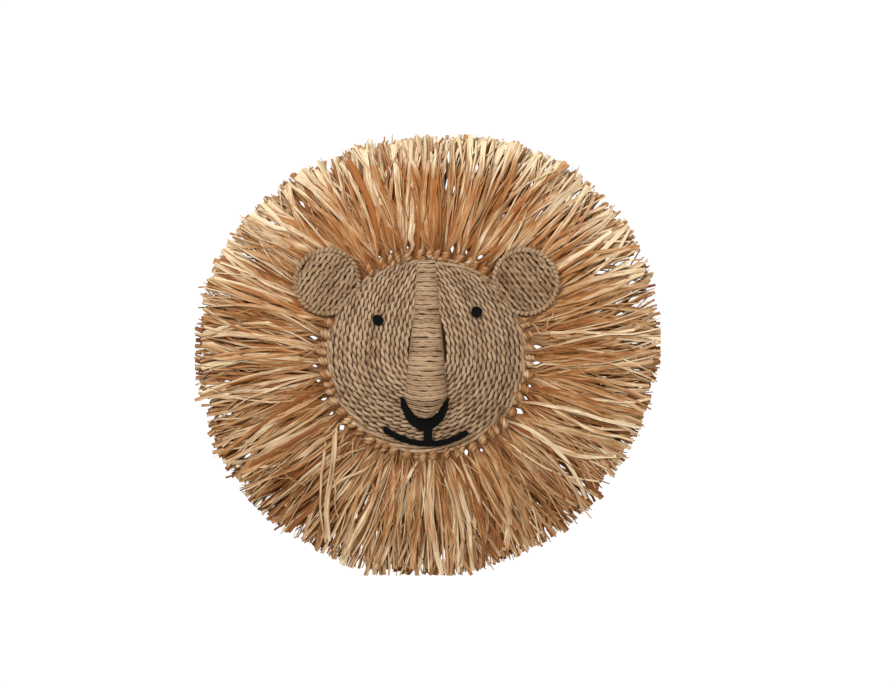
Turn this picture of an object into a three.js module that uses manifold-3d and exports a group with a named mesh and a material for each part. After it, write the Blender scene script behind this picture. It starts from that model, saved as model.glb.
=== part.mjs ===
// A lion's head to hang on a wall: a domed face, nose and ears woven from twisted paper cord on a wire
// ring, black felt eyes and mouth, and a mane of raffia tufts knotted round the ring. Sizes are in mm.
// It is drawn flat, with X to the right, Y up the wall and Z out of the wall, and stood up at the end.
// The origin is on the back of the ring, at its top, where the ring hangs on a nail.

import * as THREE from "three";
import { mergeVertices } from "three/addons/utils/BufferGeometryUtils.js";
import Module from "manifold-3d";

const wasm = await Module();
wasm.setup();

const GAP = 0.35; // clearance between pieces that touch

// The wire ring with its cord wrapping. Its back lies on the wall.
const RING_HALF_WIDTH = 97.5;
const RING_HALF_HEIGHT = 94.5;
const RING_THICKNESS = 6;
const RING_SIDES = 8;
const RING_STEPS = 48;

// The woven face, a shallow dome inside the ring.
const WEAVE_THICKNESS = 5;
const WEAVE_SETBACK = 1; // from the wall to the back of the weave, along the ring
const FACE_BULGE = 28;
const FACE_ROUNDNESS = 2.2;
const FACE_RINGS = 6;
const FACE_SECTORS = 48;

// The nose, wrapped crosswise with cord. It starts on the ring and stands in a slot between the cheeks.
// Places down the face are shares of the ring's half height below its centre.
const NOSE_END = 0.657;
const NOSE_TOP_X = 0.3;
const NOSE_TOP_WIDTH = 19;
const NOSE_TIP_X = -1.6;
const NOSE_SWERVE = 4; // how late its middle leaves its top's place for its tip's
const NOSE_WIDTH = 43.5;
const NOSE_SPREAD = 1.35; // how late it widens
const NOSE_TIP_LENGTH = 20.6;
const NOSE_TIP_TAPER = 0.92; // 1 would end the tip in a point
const NOSE_TOP_RISE = 2;
const NOSE_RISE = 15;
const NOSE_STRETCHES = 9;
const NOSE_TIP_STRETCHES = 5;
const NOSE_ARC_STEPS = 10;

// The ears, flat woven discs with a wrapped rim, tilted forward from the ring.
const EAR_RADIUS = 35;
const EAR_RIM = 6;
const EAR_WEAVE = 4;
const EAR_TILT = 15;
const EAR_OVERLAP = 8; // from the ring's centreline in to the ear's full circle
const EAR_LIFT = 1; // from the ring's front to the middle of the ear's thickness
const EAR_SEGMENTS = 32;
const RIM_STEPS = 6;
const EARS = [
  { name: "left_ear", direction: 143.5 },
  { name: "right_ear", direction: 36.5 },
];

// The felt eyes and the felt nose and mouth, glued on the weave.
// The eyes' places are shares of the ring's half width and half height from its centre.
const FELT_THICKNESS = 2.5;
const EYE_DIAMETER = 10.8;
const EYE_SIDES = 20;
const EYES = [
  { name: "left_eye", across: -0.49, up: 0.365 },
  { name: "right_eye", across: 0.51, up: 0.45 },
];
const MUZZLE_ARM = 2.4;
const MUZZLE_DEPTH = 12.4;
const STEM_X = 1.5;
const STEM_WIDTH = 8.4;
const MOUTH_X = 2;
const MOUTH_DROP = 0.932;
const MOUTH_RADIUS = 70.5;
const MOUTH_HALF_ANGLE = 34.4;
const MOUTH_LEAN_ANGLE = 2.7;
const MOUTH_WIDTH = 5.4;

// The raffia tufts, each knotted on the ring and trimmed to a round mane.
const TUFTS = 48;
const KNOT_WIDTH = 9.6;
const KNOT_LENGTH = 8;
const KNOT_HEIGHT = 7;
const WAIST_WIDTH = 6.8;
const TUFT_BACK = 0.5;
const TUFT_SPREAD_LENGTH = 13;
const TUFT_HEIGHT = 16;
const TUFT_TIP_HEIGHT = 13;
const TUFT_CROWN = 0.25; // how much lower a tuft's sides are than its middle, as a share
const LOCKS = 5;
const LOCK_DEPTH = 1.3;
const TRIM_RAGGEDNESS = 4;
const MANE_RADIUS = 223.5;
// How the trimmed edge departs from a circle: set off to one side, stretched, and a little three-sided.
const MANE_OFFSET = 3;
const MANE_STRETCH = 7;
const MANE_CORNERS = 3;
const MANE_WAVES = [
  { waves: 1, height: MANE_OFFSET, crest: 63 },
  { waves: 2, height: MANE_STRETCH, crest: 22 },
  { waves: 3, height: MANE_CORNERS, crest: 37 },
];

const headCentre = new THREE.Vector2(0, -RING_HALF_HEIGHT);
const ringRadius = RING_THICKNESS / 2;
const noseTop = ringRadius * 0.7;
const noseTipStart = headCentre.y - NOSE_END * RING_HALF_HEIGHT + NOSE_TIP_LENGTH;
const noseLength = noseTop - noseTipStart;
const mouthLowest = headCentre.y - MOUTH_DROP * RING_HALF_HEIGHT;

const weaveColour = { color: 0xa98a67, roughness: 0.9, metalness: 0 };
const raffiaColour = { color: 0xc79a62, roughness: 0.7, metalness: 0 };
const feltColour = { color: 0x101112, roughness: 1, metalness: 0 };

// A repeatable number from 0 to 1 for each whole number.
function scatter(index) {
  const wave = Math.sin(index * 12.9898 + 4.1414) * 43758.5453;
  return wave - Math.floor(wave);
}

// Distance from the head's centre to an ellipse that runs outside the ring's centreline by the offset.
function ringReach(angle, offset) {
  const across = Math.cos(angle) / (RING_HALF_WIDTH + offset);
  const up = Math.sin(angle) / (RING_HALF_HEIGHT + offset);
  return 1 / Math.hypot(across, up);
}

// Height of the front of the weave above the wall.
function faceFront(x, y) {
  const across = (x - headCentre.x) / RING_HALF_WIDTH;
  const up = (y - headCentre.y) / RING_HALF_HEIGHT;
  const share = Math.min(1, Math.hypot(across, up));
  return WEAVE_SETBACK + WEAVE_THICKNESS + FACE_BULGE * (1 - share ** FACE_ROUNDNESS);
}

function geometryOf(points, triangles) {
  const geometry = new THREE.BufferGeometry();
  geometry.setAttribute("position", new THREE.Float32BufferAttribute(points.flat(), 3));
  geometry.setIndex(triangles);
  return geometry;
}

// A body through a row of sections, each a list of as many points, running counterclockwise as seen
// from the last section. A looped body joins its last section to its first, and another gets end caps.
function loft(sections, looped = false) {
  const size = sections[0].length;
  const triangles = [];
  const spans = looped ? sections.length : sections.length - 1;
  for (let row = 0; row < spans; row++) {
    const here = row * size;
    const there = ((row + 1) % sections.length) * size;
    for (let side = 0; side < size; side++) {
      const next = (side + 1) % size;
      triangles.push(here + side, here + next, there + next);
      triangles.push(here + side, there + next, there + side);
    }
  }
  const last = (sections.length - 1) * size;
  for (let side = 1; side < size - 1 && !looped; side++) {
    triangles.push(0, side + 1, side);
    triangles.push(last, last + side, last + side + 1);
  }
  return geometryOf(sections.flat(), triangles);
}

function solidOf(geometry) {
  const bare = geometry.clone();
  bare.deleteAttribute("normal");
  bare.deleteAttribute("uv");
  const merged = mergeVertices(bare, 1e-4);
  return new wasm.Manifold(
    new wasm.Mesh({
      numProp: 3,
      vertProperties: new Float32Array(merged.attributes.position.array),
      triVerts: new Uint32Array(merged.index.array),
    }),
  );
}

function geometryFrom(solid) {
  const mesh = solid.getMesh();
  const geometry = new THREE.BufferGeometry();
  geometry.setAttribute("position", new THREE.BufferAttribute(mesh.vertProperties, 3));
  geometry.setIndex(new THREE.BufferAttribute(mesh.triVerts, 1));
  return geometry;
}

const cut = (from, tool) => geometryFrom(solidOf(from).subtract(solidOf(tool)));
const join = (one, other) => geometryFrom(solidOf(one).add(solidOf(other)));
const common = (one, other) => geometryFrom(solidOf(one).intersect(solidOf(other)));

// A round bar along the ring's centreline.
function ringBar(radius) {
  const sections = [];
  const corner = radius / Math.cos(Math.PI / RING_SIDES);
  for (let step = 0; step < RING_STEPS; step++) {
    const turn = (step / RING_STEPS) * 2 * Math.PI;
    const along = new THREE.Vector2(-RING_HALF_WIDTH * Math.sin(turn), RING_HALF_HEIGHT * Math.cos(turn));
    along.normalize();
    const section = [];
    for (let side = 0; side < RING_SIDES; side++) {
      const bend = ((side + 0.5) / RING_SIDES) * 2 * Math.PI;
      const outward = corner * Math.cos(bend);
      section.push([
        headCentre.x + RING_HALF_WIDTH * Math.cos(turn) + outward * along.y,
        headCentre.y + RING_HALF_HEIGHT * Math.sin(turn) - outward * along.x,
        ringRadius + corner * Math.sin(bend),
      ]);
    }
    sections.push(section.reverse());
  }
  return loft(sections, true);
}

// The space between two heights over the dome's front, inside the ring. Its points are the two sheets'
// middles, then each sheet's points, band by band outwards.
function faceLayer(lower, upper) {
  const inset = -(ringRadius + GAP);
  const heights = [upper, lower];
  const points = heights.map((height) => [
    headCentre.x,
    headCentre.y,
    faceFront(headCentre.x, headCentre.y) + height,
  ]);
  for (const height of heights) {
    for (let band = 1; band <= FACE_RINGS; band++) {
      for (let sector = 0; sector < FACE_SECTORS; sector++) {
        const angle = (sector / FACE_SECTORS) * 2 * Math.PI;
        const reach = (band / FACE_RINGS) * ringReach(angle, inset);
        const x = headCentre.x + reach * Math.cos(angle);
        const y = headCentre.y + reach * Math.sin(angle);
        points.push([x, y, faceFront(x, y) + height]);
      }
    }
  }
  const triangles = [];
  const quad = (a, b, c, d) => triangles.push(a, b, c, a, c, d);
  const at = (sheet, band, sector) =>
    heights.length + (sheet * FACE_RINGS + band - 1) * FACE_SECTORS + (sector % FACE_SECTORS);
  for (let here = 0; here < FACE_SECTORS; here++) {
    const next = here + 1;
    triangles.push(0, at(0, 1, here), at(0, 1, next));
    triangles.push(1, at(1, 1, next), at(1, 1, here));
    for (let band = 1; band < FACE_RINGS; band++) {
      quad(at(0, band, here), at(0, band + 1, here), at(0, band + 1, next), at(0, band, next));
      quad(at(1, band, here), at(1, band, next), at(1, band + 1, next), at(1, band + 1, here));
    }
    const edge = FACE_RINGS;
    quad(at(0, edge, here), at(1, edge, here), at(1, edge, next), at(0, edge, next));
  }
  return geometryOf(points, triangles);
}

// A flat outline pushed through the whole depth of the head.
function through(shape, curveSegments = 12) {
  const depth = 3 * (FACE_BULGE + NOSE_RISE);
  const geometry = new THREE.ExtrudeGeometry(shape, { depth, bevelEnabled: false, curveSegments });
  return geometry.translate(0, 0, -depth / 3);
}

// Where the nose's middle is at a distance below its top.
function noseMiddle(below) {
  const share = below / (noseLength + NOSE_TIP_LENGTH);
  return THREE.MathUtils.lerp(NOSE_TOP_X, NOSE_TIP_X, share ** NOSE_SWERVE);
}

// What is left of the nose's width and rise at a distance below its top, as a share: all, down to its tip.
function noseFullness(below) {
  const tipShare = Math.max(0, below - noseLength) / NOSE_TIP_LENGTH;
  return Math.sqrt(1 - NOSE_TIP_TAPER * tipShare);
}

// Half of the nose's width at a distance below its top.
function noseHalfWidth(below) {
  const share = Math.min(1, below / noseLength) ** NOSE_SPREAD;
  return (THREE.MathUtils.lerp(NOSE_TOP_WIDTH, NOSE_WIDTH, share) / 2) * noseFullness(below);
}

// Distances below the nose's top where its tip is drawn.
function noseTipStations() {
  const stations = [];
  for (let step = 0; step <= NOSE_TIP_STRETCHES; step++)
    stations.push(noseLength + (step / NOSE_TIP_STRETCHES) * NOSE_TIP_LENGTH);
  return stations;
}

// Distances below the nose's top where its form is drawn.
function noseStations() {
  const stations = [];
  for (let step = 0; step < NOSE_STRETCHES; step++)
    stations.push((step / NOSE_STRETCHES) * noseLength);
  return [...stations, ...noseTipStations()];
}

// The nose's left (-1) or right (1) edge through some stations, with a clearance outside it. Where the
// stations end at the tip's flat end, the edge goes on by the clearance.
function noseEdge(stations, side, clearance) {
  return stations.map((below) => {
    const x = noseMiddle(below) + side * (noseHalfWidth(below) + clearance);
    const beyond = below === stations.at(-1) ? clearance : 0;
    return new THREE.Vector2(x, noseTop - below - beyond);
  });
}

// The slot that the nose stands in, running on past the ring at its top.
function noseSlot() {
  const [left, right] = [-1, 1].map((side) => noseEdge(noseStations(), side, GAP));
  for (const top of [left[0], right[0]]) top.y += RING_THICKNESS;
  return through(new THREE.Shape([...left, ...right.reverse()]));
}

function noseBridge() {
  const sections = noseStations().map((below) => {
    const x = noseMiddle(below);
    const y = noseTop - below;
    const half = noseHalfWidth(below);
    const front = Math.max(RING_THICKNESS, faceFront(x, Math.min(0, y)));
    const rise =
      THREE.MathUtils.lerp(NOSE_TOP_RISE, NOSE_RISE, Math.min(1, below / noseLength)) *
      noseFullness(below);
    const back = Math.max(ringRadius, front - WEAVE_THICKNESS);
    const section = [[x + half, y, back]];
    for (let step = 0; step <= NOSE_ARC_STEPS; step++) {
      const turn = Math.PI * (step / NOSE_ARC_STEPS);
      section.push([x + half * Math.cos(turn), y, front - 1 + (rise + 1) * Math.sin(turn)]);
    }
    section.push([x - half, y, back]);
    return section;
  });
  return cut(loft(sections), ringBar(ringRadius + GAP));
}

function faceWeave() {
  return cut(faceLayer(-WEAVE_THICKNESS, 0), noseSlot());
}

// Moves a shape drawn round the Z axis to where an ear's middle is, tilted forward.
function placeOnEar(geometry, ear) {
  const direction = THREE.MathUtils.degToRad(ear.direction);
  const tilt = THREE.MathUtils.degToRad(EAR_TILT);
  const reach = ringReach(direction, 0) + EAR_RADIUS - EAR_OVERLAP;
  const out = reach - ringReach(direction, ringRadius);
  const hinge = new THREE.Vector3(Math.sin(direction), -Math.cos(direction), 0);
  const turned = new THREE.Matrix4().makeRotationAxis(hinge, tilt);
  const place = new THREE.Matrix4().makeTranslation(
    headCentre.x + reach * Math.cos(direction),
    headCentre.y + reach * Math.sin(direction),
    RING_THICKNESS + EAR_LIFT + out * Math.tan(tilt),
  );
  return geometry.applyMatrix4(turned).applyMatrix4(place);
}

// A disc of the given profile, from its axis at the back round to its axis at the front.
function turnedDisc(profile) {
  const points = profile.map(([radius, height]) => new THREE.Vector2(radius, height));
  return new THREE.LatheGeometry(points, EAR_SEGMENTS).rotateX(Math.PI / 2);
}

function earDisc(ear) {
  const rim = EAR_RIM / 2;
  const middle = EAR_RADIUS - rim;
  const web = EAR_WEAVE / 2;
  const profile = [[0, -web], [middle - rim, -web]];
  for (let step = 0; step <= RIM_STEPS; step++) {
    const turn = Math.PI * (step / RIM_STEPS - 0.5);
    profile.push([middle + rim * Math.cos(turn), rim * Math.sin(turn)]);
  }
  profile.push([middle - rim, web], [0, web]);
  const offset = ringRadius + GAP;
  const [halfWidth, halfHeight] = [RING_HALF_WIDTH + offset, RING_HALF_HEIGHT + offset];
  const head = new THREE.Shape();
  head.absellipse(headCentre.x, headCentre.y, halfWidth, halfHeight, 0, 2 * Math.PI);
  return cut(placeOnEar(turnedDisc(profile), ear), through(head, RING_STEPS));
}

// The room that an ear takes in front of the tufts behind it.
function earSpace(ear) {
  const radius = EAR_RADIUS + GAP;
  const back = -(EAR_RIM / 2 + GAP);
  const front = 2 * TUFT_HEIGHT;
  return placeOnEar(turnedDisc([[0, back], [radius, back], [radius, front], [0, front]]), ear);
}

// A block of felt's outline, brought down to a layer of felt on the weave.
function feltOn(block) {
  return common(block, faceLayer(GAP, GAP + FELT_THICKNESS));
}

function feltEye(eye) {
  const x = headCentre.x + eye.across * RING_HALF_WIDTH;
  const y = headCentre.y + eye.up * RING_HALF_HEIGHT;
  const outline = new THREE.Shape();
  outline.absarc(x, y, EYE_DIAMETER / 2, 0, 2 * Math.PI);
  return feltOn(through(outline, EYE_SIDES / 2));
}

// The crescent under the nose, round the tip.
function muzzleOutline() {
  const outer = NOSE_WIDTH / 2 + MUZZLE_ARM;
  const deep = NOSE_TIP_LENGTH + MUZZLE_DEPTH;
  const outline = new THREE.Shape();
  outline.absellipse(NOSE_TIP_X, noseTipStart, outer, deep, Math.PI, 2 * Math.PI);
  const [left, right] = [-1, 1].map((side) => noseEdge(noseTipStations(), side, 2 * GAP));
  for (const point of [...right, ...left.reverse()]) outline.lineTo(point.x, point.y);
  return outline;
}

// A smile: part of a circle with round ends.
function mouthOutline() {
  const half = THREE.MathUtils.degToRad(MOUTH_HALF_ANGLE);
  const lean = THREE.MathUtils.degToRad(MOUTH_LEAN_ANGLE);
  const down = -Math.PI / 2 - lean;
  const centre = new THREE.Vector2(MOUTH_X, mouthLowest + MOUTH_RADIUS);
  const stroke = MOUTH_WIDTH / 2;
  const end = (angle) =>
    new THREE.Vector2(Math.cos(angle), Math.sin(angle)).multiplyScalar(MOUTH_RADIUS).add(centre);
  const outline = new THREE.Shape();
  const [left, right] = [down - half, down + half];
  outline.absarc(centre.x, centre.y, MOUTH_RADIUS + stroke, left, right);
  outline.absarc(end(right).x, end(right).y, stroke, right, right + Math.PI);
  outline.absarc(centre.x, centre.y, MOUTH_RADIUS - stroke, right, left, true);
  outline.absarc(end(left).x, end(left).y, stroke, left + Math.PI, left + 2 * Math.PI);
  return outline;
}

function feltMouth() {
  const top = noseTipStart - NOSE_TIP_LENGTH - MUZZLE_DEPTH / 2;
  const left = STEM_X - STEM_WIDTH / 2;
  const right = STEM_X + STEM_WIDTH / 2;
  const stem = new THREE.Shape();
  stem.moveTo(left, top).lineTo(left, mouthLowest).lineTo(right, mouthLowest).lineTo(right, top);
  const upper = join(through(muzzleOutline()), through(stem));
  return feltOn(join(upper, through(mouthOutline())));
}

// Radius of the trimmed mane, measured from the head's centre.
function maneReach(angle) {
  const waves = MANE_WAVES.map(
    (wave) => wave.height * Math.cos(wave.waves * (angle - THREE.MathUtils.degToRad(wave.crest))),
  );
  return MANE_RADIUS + waves.reduce((sum, height) => sum + height, 0);
}

// A tuft along +Y from its knot, as wide as its wedge of the mane, with the back on the wall.
function tuftForm(start, length, seed) {
  const wedge = Math.tan(Math.PI / TUFTS);
  const room = (along) => (start + along) * wedge - GAP / 2;
  const waist = KNOT_LENGTH * 1.2;
  const spread = KNOT_LENGTH + TUFT_SPREAD_LENGTH;
  const middle = (spread + length) / 2;
  const stations = [
    { along: 0, half: KNOT_WIDTH * 0.4, top: KNOT_HEIGHT * 0.8, groove: 0 },
    { along: KNOT_LENGTH / 2, half: KNOT_WIDTH / 2, top: KNOT_HEIGHT, groove: 0 },
    { along: waist, half: WAIST_WIDTH / 2, top: KNOT_HEIGHT * 0.85, groove: 0 },
    { along: spread, half: room(spread), top: TUFT_HEIGHT * 0.8, groove: LOCK_DEPTH },
    { along: middle, half: room(middle), top: TUFT_HEIGHT, groove: LOCK_DEPTH },
    { along: length, half: room(length - TRIM_RAGGEDNESS), top: TUFT_TIP_HEIGHT, groove: LOCK_DEPTH },
  ];
  const sections = stations.map(({ along, half, top, groove }, index) => {
    const trim = index === stations.length - 1 ? TRIM_RAGGEDNESS : 0;
    const ragged = (column) => along + trim * (2 * scatter(seed * LOCKS + column) - 1);
    const section = [];
    for (let column = 0; column < LOCKS; column++) {
      const share = (2 * column) / (LOCKS - 1) - 1;
      const crown = top * (1 - TUFT_CROWN * share ** 2);
      section.push([share * half, ragged(column), column % 2 ? crown : crown - groove]);
    }
    for (const share of [1, 0, -1])
      section.push([share * half * 0.94, ragged(LOCKS + share), TUFT_BACK]);
    return section;
  });
  return loft(sections);
}

function raffiaTuft(index) {
  const angle = ((index + 0.5) / TUFTS) * 2 * Math.PI;
  const start = ringReach(angle, ringRadius + GAP);
  const place = new THREE.Matrix4()
    .makeTranslation(headCentre.x + start * Math.cos(angle), headCentre.y + start * Math.sin(angle), 0)
    .multiply(new THREE.Matrix4().makeRotationZ(angle - Math.PI / 2));
  const form = tuftForm(start, maneReach(angle) - start, index + 1).applyMatrix4(place);
  const behindEars = EARS.reduce((rest, ear) => cut(rest, earSpace(ear)), form);
  return namedMesh(`tuft_${String(index + 1).padStart(2, "0")}`, behindEars, raffiaColour);
}

function namedMesh(name, geometry, colour) {
  const mesh = new THREE.Mesh(geometry, new THREE.MeshStandardMaterial(colour));
  mesh.name = name;
  return mesh;
}

const drawing = new THREE.Group();
drawing.add(namedMesh("head_ring", ringBar(ringRadius), weaveColour));
drawing.add(namedMesh("face_weave", faceWeave(), weaveColour));
drawing.add(namedMesh("nose_bridge", noseBridge(), weaveColour));
for (const ear of EARS) drawing.add(namedMesh(ear.name, earDisc(ear), weaveColour));
for (const eye of EYES) drawing.add(namedMesh(eye.name, feltEye(eye), feltColour));
drawing.add(namedMesh("felt_mouth", feltMouth(), feltColour));
for (let index = 0; index < TUFTS; index++) drawing.add(raffiaTuft(index));
drawing.rotation.x = Math.PI / 2;

const lionHead = new THREE.Group();
lionHead.add(drawing);

export default lionHead;
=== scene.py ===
import math
import random

import bmesh
import bpy
import numpy as np
from mathutils import Matrix, Vector, noise


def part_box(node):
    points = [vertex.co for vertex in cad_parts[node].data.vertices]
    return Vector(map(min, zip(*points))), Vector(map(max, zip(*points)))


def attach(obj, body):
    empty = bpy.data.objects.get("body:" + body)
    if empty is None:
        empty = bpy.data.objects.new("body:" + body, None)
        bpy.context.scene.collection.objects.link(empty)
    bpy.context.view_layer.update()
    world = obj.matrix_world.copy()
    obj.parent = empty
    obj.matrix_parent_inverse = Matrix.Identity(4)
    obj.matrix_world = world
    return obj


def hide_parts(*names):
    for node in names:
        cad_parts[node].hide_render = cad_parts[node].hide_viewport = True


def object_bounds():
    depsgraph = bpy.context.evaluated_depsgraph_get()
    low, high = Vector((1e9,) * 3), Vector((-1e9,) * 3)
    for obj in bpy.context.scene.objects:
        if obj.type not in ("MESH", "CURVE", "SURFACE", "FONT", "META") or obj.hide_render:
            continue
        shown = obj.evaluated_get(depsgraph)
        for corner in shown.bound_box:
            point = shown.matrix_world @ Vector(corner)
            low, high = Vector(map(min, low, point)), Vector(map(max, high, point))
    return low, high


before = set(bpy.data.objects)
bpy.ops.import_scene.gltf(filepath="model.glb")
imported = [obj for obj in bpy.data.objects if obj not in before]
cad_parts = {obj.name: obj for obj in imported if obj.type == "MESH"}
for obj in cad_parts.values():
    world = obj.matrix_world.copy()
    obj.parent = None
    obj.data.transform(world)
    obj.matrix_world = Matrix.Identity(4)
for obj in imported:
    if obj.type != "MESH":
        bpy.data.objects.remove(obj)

# A lion's head to hang on a wall: woven paper cord, black felt and a mane of raffia tufts.
# Each piece is drawn flat in millimetres, x to the right, y up the wall and z out of the wall,
# and stood up in metres when it is finished. Rows, tufts and angles count from the head's middle.

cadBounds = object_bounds()
scene = bpy.context.scene
millimetre = 0.001

ringLow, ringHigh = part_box("head_ring")
head = {
    "x": (ringLow.x + ringHigh.x) / 2 / millimetre,
    "y": (ringLow.z + ringHigh.z) / 2 / millimetre,
    "ringRadius": (ringHigh.y - ringLow.y) / 2 / millimetre,
    "domeRise": 28,        # how far the middle of the face stands out past its edge
    "domeRoundness": 2.2,
    "rimFront": 6,         # front of the weave at the ring
}
head["halfWidth"] = (ringHigh.x - ringLow.x) / 2 / millimetre - head["ringRadius"]
head["halfHeight"] = (ringHigh.z - ringLow.z) / 2 / millimetre - head["ringRadius"]


def mix(low, high, share):
    return low + (high - low) * share


def smooth(share):
    share = np.clip(share, 0, 1)
    return share * share * (3 - 2 * share)


def ringReach(angle, offset=0.0):
    across = np.cos(angle) / (head["halfWidth"] + offset)
    up = np.sin(angle) / (head["halfHeight"] + offset)
    return 1 / np.hypot(across, up)


def faceFront(x, y):
    share = np.minimum(1, np.hypot(x / head["halfWidth"], y / head["halfHeight"]))
    return head["rimFront"] + head["domeRise"] * (1 - share ** head["domeRoundness"])


def ontoDome(points):
    # points hold x, y and a depth from the weave's front; they move out along the dome's normal
    x, y, depth = points.T
    step = 0.5
    slopeX = (faceFront(x + step, y) - faceFront(x - step, y)) / (2 * step)
    slopeY = (faceFront(x, y + step) - faceFront(x, y - step)) / (2 * step)
    steep = np.sqrt(1 + slopeX ** 2 + slopeY ** 2)
    return np.column_stack([
        x - slopeX * depth / steep,
        y - slopeY * depth / steep,
        faceFront(x, y) + depth / steep,
    ])


def addObject(name, data):
    thing = bpy.data.objects.new(name, data)
    scene.collection.objects.link(thing)
    return thing


# Camera and lights

cameraView = {"away": 3.0, "frameWidth": 0.890, "x": 0.0185, "z": -0.0815, "maneDepth": -0.012}


def addCamera():
    data = bpy.data.cameras.new("camera")
    data.sensor_fit = "HORIZONTAL"
    data.lens = data.sensor_width * cameraView["away"] / cameraView["frameWidth"]
    data.clip_end = 50
    camera = addObject("camera", data)
    camera.location = (cameraView["x"], cameraView["maneDepth"] - cameraView["away"], cameraView["z"])
    camera.rotation_euler = (math.pi / 2, 0, 0)
    scene.camera = camera


softboxes = {
    "keySoftbox": {"place": (-1.0, -2.1, 1.5), "size": 1.2, "watts": 68},
    "fillSoftbox": {"place": (1.3, -2.4, -0.6), "size": 2.2, "watts": 28},
}
surroundings = {
    "seen": {"colour": (1, 1, 1, 1), "strength": 1.05},           # plain white behind the mask
    "room": {"colour": (1, 0.91, 0.79, 1), "strength": 0.42},     # what lights it from all round
}


def addLights():
    aim = Vector((0, 0, head["y"] * millimetre))
    for name, box in softboxes.items():
        data = bpy.data.lights.new(name, "AREA")
        data.size = box["size"]
        data.energy = box["watts"]
        lamp = addObject(name, data)
        lamp.location = box["place"]
        lamp.rotation_euler = (aim - lamp.location).to_track_quat("-Z", "Y").to_euler()
    world = bpy.data.worlds.new("studio")
    world.use_nodes = True
    nodes, links = world.node_tree.nodes, world.node_tree.links
    nodes.clear()
    path = nodes.new("ShaderNodeLightPath")
    choice = nodes.new("ShaderNodeMixShader")
    output = nodes.new("ShaderNodeOutputWorld")
    links.new(path.outputs["Is Camera Ray"], choice.inputs[0])
    for place, name in ((1, "room"), (2, "seen")):
        background = nodes.new("ShaderNodeBackground")
        background.inputs["Color"].default_value = surroundings[name]["colour"]
        background.inputs["Strength"].default_value = surroundings[name]["strength"]
        links.new(background.outputs[0], choice.inputs[place])
    links.new(choice.outputs[0], output.inputs["Surface"])
    scene.world = world
    scene.view_settings.view_transform = "Standard"


addCamera()
addLights()
print("camera and lights are set")


# Shader maths: a wire is a socket that adds its own nodes

class Wire:
    def __init__(self, tree, socket=None):
        self.tree = tree
        self.socket = socket

    def make(self, kind, settings={}, inputs={}, output=0):
        node = self.tree.nodes.new(kind)
        for key, value in settings.items():
            if key == "stops":
                ramp = node.color_ramp.elements
                while len(ramp) < len(value):
                    ramp.new(0.5)
                for stop, (place, colour) in zip(ramp, value):
                    stop.position = place
                    stop.color = colour
            else:
                setattr(node, key, value)
        for key, value in inputs.items():
            if isinstance(value, Wire):
                self.tree.links.new(value.socket, node.inputs[key])
            else:
                node.inputs[key].default_value = value
        return Wire(self.tree, node.outputs[output])

    def maths(self, operation, first, second):
        return self.make("ShaderNodeMath", {"operation": operation}, {0: first, 1: second})

    def __add__(self, other):
        return self.maths("ADD", self, other)

    def __sub__(self, other):
        return self.maths("SUBTRACT", self, other)

    def __rsub__(self, other):
        return self.maths("SUBTRACT", other, self)

    def __mul__(self, other):
        return self.maths("MULTIPLY", self, other)

    def __pow__(self, other):
        return self.maths("POWER", self, other)

    __radd__ = __add__
    __rmul__ = __mul__


def newMaterial(name):
    material = bpy.data.materials.new(name)
    material.use_nodes = True
    tree = material.node_tree
    shader = tree.nodes["Principled BSDF"]
    return material, Wire(tree), shader


def textured(wire, place, scale, detail, roughness=0.5):
    return wire.make("ShaderNodeTexNoise", {}, {
        "Vector": place, "Scale": scale, "Detail": detail, "Roughness": roughness,
    })


def ranged(wire, value, low, high):
    # 0 up to low and 1 from high on
    return wire.make("ShaderNodeMapRange", {}, {"Value": value, "From Min": low, "From Max": high})


def strandValues(wire):
    # per strand: a number of its own, the distance along it in mm, and the share of the way round it
    tone = wire.make("ShaderNodeAttribute", {"attribute_name": "tone"}, output="Fac")
    along = wire.make("ShaderNodeAttribute", {"attribute_name": "along"}, output="Fac")
    around = wire.make("ShaderNodeUVMap", {"uv_map": "UVMap"})
    around = wire.make("ShaderNodeSeparateXYZ", {}, {0: around}, output="Y")
    return tone, along, around


def tint(wire, factor, low, high):
    return wire.make("ShaderNodeMix", {"data_type": "RGBA"}, {0: factor, 6: low, 7: high}, output=2)


def paintedShadeSeenFromFront(wire):
    # painted shade: the darkening of the gaps, left out on surfaces that face the wall
    depth = wire.make("ShaderNodeAttribute", {"attribute_name": "depth"}, output="Fac")
    normal = wire.make("ShaderNodeTexCoord", output="Normal")
    toWall = wire.make("ShaderNodeSeparateXYZ", {}, {0: normal}, output="Y")
    return depth * (1 - ranged(wire, toWall, 0.3, 0.7))


def finishMaterial(wire, shader, colour, height, look):
    # height is what raises the surface a little: fibres, streaks or fluff
    bump = wire.make("ShaderNodeBump", {}, {
        "Strength": look["relief"], "Distance": 0.4 * millimetre, "Height": height,
    })
    wire.tree.links.new(colour.socket, shader.inputs["Base Color"])
    wire.tree.links.new(bump.socket, shader.inputs["Normal"])
    shader.inputs["Roughness"].default_value = look["roughness"]
    shader.inputs["Specular IOR Level"].default_value = look["sheen"]


paperCordLook = {
    "shade": (0.150, 0.078, 0.034, 1),
    "body": (0.352, 0.233, 0.136, 1),
    "light": (0.530, 0.385, 0.255, 1),
    "bodyAt": 0.45,
    "hollow": (0.030, 0.008, 0.002, 1),       # painted shade between the rows, where no light comes
    "hollowFrom": 0.28, "hollowTo": 0.6,      # depths between which the painted shade comes in
    "fibresRound": 5, "fibresAlong": 0.11, "fibreTwist": 0.32, "fibreScale": 2.2, "patchScale": 45,
    "fibreShare": 1.5, "toneShare": 0.35, "patchShare": 0.7,
    "relief": 0.5, "roughness": 0.9, "sheen": 0.25,
}


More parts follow.
